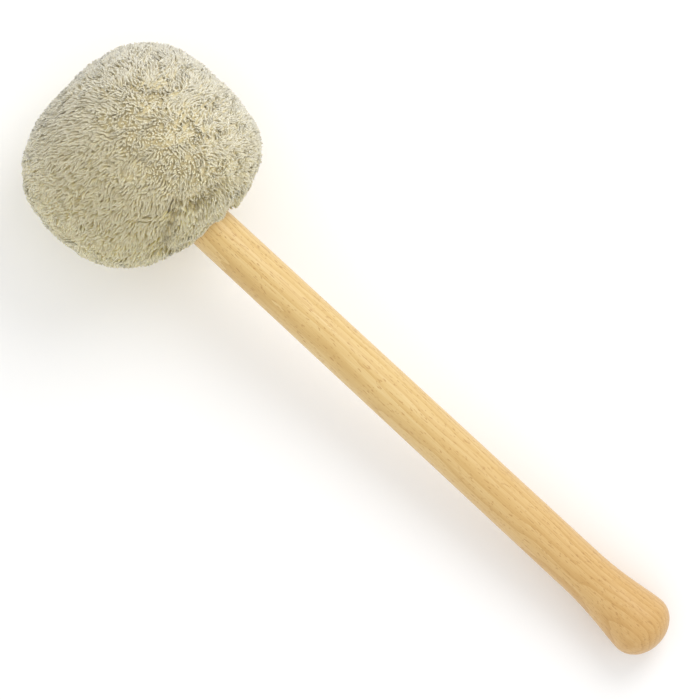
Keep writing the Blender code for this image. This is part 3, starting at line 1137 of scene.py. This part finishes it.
    def strip(
        self,
        which: Strip,
        locks: Locks,
        points: np.ndarray,
        faces: np.ndarray,
        material: bpy.types.Material,
    ) -> bpy.types.Object:
        """Makes one strip of the pile.

        Args:
            which: which strip it is.
            locks: the locks in it.
            points: the straight lock's points.
            faces: the straight lock's faces.
            material: the fleece.

        Returns:
            The piece.
        """
        count, size, corners = len(locks.points), len(points), faces.shape[1]
        loops = (faces[None] + (np.arange(count) * size)[:, None, None]).reshape(-1)
        starts = np.arange(0, len(loops), corners, dtype=np.int32)
        mesh = bpy.data.meshes.new(f"fleece_pile_{which.name.lower()}")
        mesh.vertices.add(count * size)
        mesh.vertices.foreach_set("co", locks.points.astype(np.float32).ravel())
        mesh.loops.add(len(loops))
        mesh.loops.foreach_set("vertex_index", loops.astype(np.int32))
        mesh.polygons.add(len(starts))
        mesh.polygons.foreach_set("loop_start", starts)
        mesh.polygons.foreach_set("use_smooth", np.ones(len(starts), bool))
        mesh.update(calc_edges=True)
        mesh.normals_split_custom_set_from_vertices(locks.normals.reshape(-1, 3))
        shade = np.ones((count, size, 4))
        shade[..., 0] = points[None, :, 2]
        shade[..., 1] = locks.brightness[:, None]
        shade[..., 2] = locks.saturation[:, None]
        write_shade(mesh, shade)
        return finish_piece(link(mesh.name, mesh), material)


@dataclass(frozen=True)
class Backing:
    """The knitted backing that the pile stands on, stuffed tight and drawn in round the handle."""

    form: HeadForm
    depth: float = 2.7 * MM  # below the tips
    lip_depth: float = 2.0 * MM
    cloth: float = 1.2 * MM
    around: int = 144
    rings: int = 90
    shade: tuple[float, float, float, float] = (0.6, 1.0, 0.85, 1.0)  # as write_shade takes it

    def moved(self, sleeve: np.ndarray) -> np.ndarray:
        """Moves the points of an upright sleeve onto the head's form, under the tips of the pile.

        Args:
            sleeve: points of a sleeve of radius 1, from level 0 at the crown to level 1 at the lip.

        Returns:
            The moved points, in the mallet's own axes.
        """
        angle = np.arctan2(sleeve[:, 1], sleeve[:, 0])
        turn = np.clip(sleeve[:, 2], 0, 1)
        tips = self.form.surface(angle, turn)
        clear = self.form.clear_of_lip(tips, turn)
        depth = self.lip_depth + (self.depth - self.lip_depth) * clear
        points = tips - self.form.normals(angle, turn) * depth[:, None]
        pole = turn < 0.5 / self.rings
        points[pole] = points[pole].mean(axis=0)
        points[pole, :2] = 0
        return points

    def build(self, material: bpy.types.Material) -> bpy.types.Object:
        """Spins a sleeve, moves it onto the head's form and gives it its thickness.

        Args:
            material: the fleece.

        Returns:
            The piece.
        """
        bm = spun([(1, i / self.rings) for i in range(self.rings + 1)], self.around)
        sleeve = np.array([v.co[:] for v in bm.verts])
        for vert, co in zip(bm.verts, to_world(self.moved(sleeve))):
            vert.co = co
        bmesh.ops.remove_doubles(bm, verts=bm.verts, dist=MERGE)
        bmesh.ops.recalc_face_normals(bm, faces=bm.faces)
        bmesh.ops.solidify(bm, geom=bm.faces, thickness=self.cloth)
        bmesh.ops.recalc_face_normals(bm, faces=bm.faces)
        mesh = to_mesh("fleece_backing", bm)
        mesh.shade_smooth()
        write_shade(mesh, np.tile(self.shade, len(mesh.vertices)))
        obj = link("fleece_backing", mesh)
        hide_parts("fleece_cover")
        return finish_piece(obj, material)


# The pieces inside the head


def dress_inner_nodes() -> None:
    """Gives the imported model's hidden pieces their real materials."""
    # Felt and wadding are matt and slightly uneven in tone, felt in finer specks.
    felt = MottledFinish("wool_felt", "cfcbbf", "a9a497", grain=1.2, roughness=0.95).build()
    wadding = MottledFinish("wool_wadding", "efece2", "d8d3c4", grain=3.0, roughness=0.95).build()
    # The core is bare wood, straight from the lathe.
    beech = MottledFinish("beech_plain", "dcb98a", "c39a66", grain=2.0, roughness=0.7).build()
    # Zinc plating has a faint grey spangle.
    steel = MottledFinish(
        "steel_zinc_plated", "cfd2d4", "b4b7ba", grain=2.5, roughness=0.35, metallic=1.0
    ).build()
    # Wax gives the cord a dull shine and darkens the hollows between its plies.
    cord = MottledFinish("linen_cord_waxed", "c6b48e", "a08c64", grain=0.5, roughness=0.6).build()
    finishes = {
        "core": beech,
        "core_washer": steel,
        "core_screw": steel,
        "felt_winding": felt,
        "neck_felt_disc": felt,
        "crown_felt_disc": felt,
        "wadding": wadding,
        "neck_binding": cord,
        "crown_binding": cord,
    }
    for node, material in finishes.items():
        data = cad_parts[node].data
        data.materials.clear()
        data.materials.append(material)
        log.info("%s: %s", node, material.name)


# Table, light and camera


@dataclass(frozen=True)
class Studio:
    """The photograph's plain white set, seen from straight above. Lengths are in metres."""

    pixel: float = 0.486 * MM  # of the photograph, at the handle's height
    picture: int = 700
    joint_column: float = 210.3  # where the photograph shows the handle entering the fleece
    joint_row: float = 226.7
    slope: float = math.radians(42.81)  # of the handle in the picture
    distance: float = 1.9
    sensor: float = 36.0  # mm
    table_size: float = 6.0
    table_colour: str = "fdfdfd"
    sky: float = 0.93
    sky_seen: float = 1.05  # just over white, where the camera looks past the table
    key_power: float = 4.3
    key_size: float = 0.7
    key_place: tuple[float, float, float] = (-0.15, 0.75, 0.85)
    key_target: tuple[float, float, float] = (-0.05, 0, 0.03)

    def table(self) -> None:
        """The white table: matt paper without any shine."""
        bm = bmesh.new()
        bmesh.ops.create_grid(bm, x_segments=1, y_segments=1, size=self.table_size / 2)
        mesh = to_mesh("table", bm)
        made, tree, shader = new_material("paper_white")
        looks = {
            "Base Color": linear(self.table_colour),
            "Roughness": 1.0,
            "Specular IOR Level": 0.0,
        }
        connect(tree, shader, looks)
        mesh.materials.append(made)
        link("table", mesh)

    def light(self) -> None:
        """A bright even sky, white where the camera sees it, and one large soft lamp on the +y side."""
        world = bpy.data.worlds.new("studio")
        bpy.context.scene.world = world
        world.use_nodes = True
        tree = world.node_tree
        seen = add(tree, "ShaderNodeLightPath").outputs["Is Camera Ray"]
        span = {"Value": seen, "To Min": self.sky, "To Max": self.sky_seen}
        strength = add(tree, "ShaderNodeMapRange", span).outputs[0]
        connect(tree, tree.nodes["Background"], {"Color": (1, 1, 1, 1), "Strength": strength})
        lamp = bpy.data.lights.new("key", "AREA")
        lamp.shape = "DISK"
        lamp.size = self.key_size
        lamp.energy = self.key_power
        obj = link("key", lamp)
        obj.location = self.key_place
        aim = Vector(self.key_target) - obj.location
        obj.rotation_euler = aim.to_track_quat("-Z", "Y").to_euler()

    def camera(self) -> None:
        """The camera, placed so that the joint of head and handle falls where the photograph shows it."""
        joint = MALLET.translation
        right = Vector((math.cos(self.slope), math.sin(self.slope), 0))
        upwards = Vector((-math.sin(self.slope), math.cos(self.slope), 0))
        middle = self.picture / 2
        shift_right = (middle - self.joint_column) * self.pixel
        shift_up = (self.joint_row - middle) * self.pixel
        place = joint + right * shift_right + upwards * shift_up
        data = bpy.data.cameras.new("camera")
        data.sensor_width = self.sensor
        data.lens = self.sensor * self.distance / (self.picture * self.pixel)
        obj = link("camera", data)
        obj.location = (place.x, place.y, joint.z + self.distance)
        obj.rotation_euler = (0, 0, self.slope)
        bpy.context.scene.camera = obj
        bpy.context.scene.view_settings.view_transform = "Standard"

    def build(self) -> None:
        """Builds the whole set."""
        self.table()
        self.light()
        self.camera()
        log.info("table, light and camera are in place")


def main() -> None:
    """Builds and dresses the mallet and its set."""
    logging.basicConfig(level=logging.INFO, format="%(name)s: %(message)s")
    Studio().build()
    Handle().build()
    fleece = FleeceFinish().build()
    form = HeadForm()
    Backing(form).build(fleece)
    Pile(form).build(fleece)
    dress_inner_nodes()


if __name__ == "__main__":
    main()
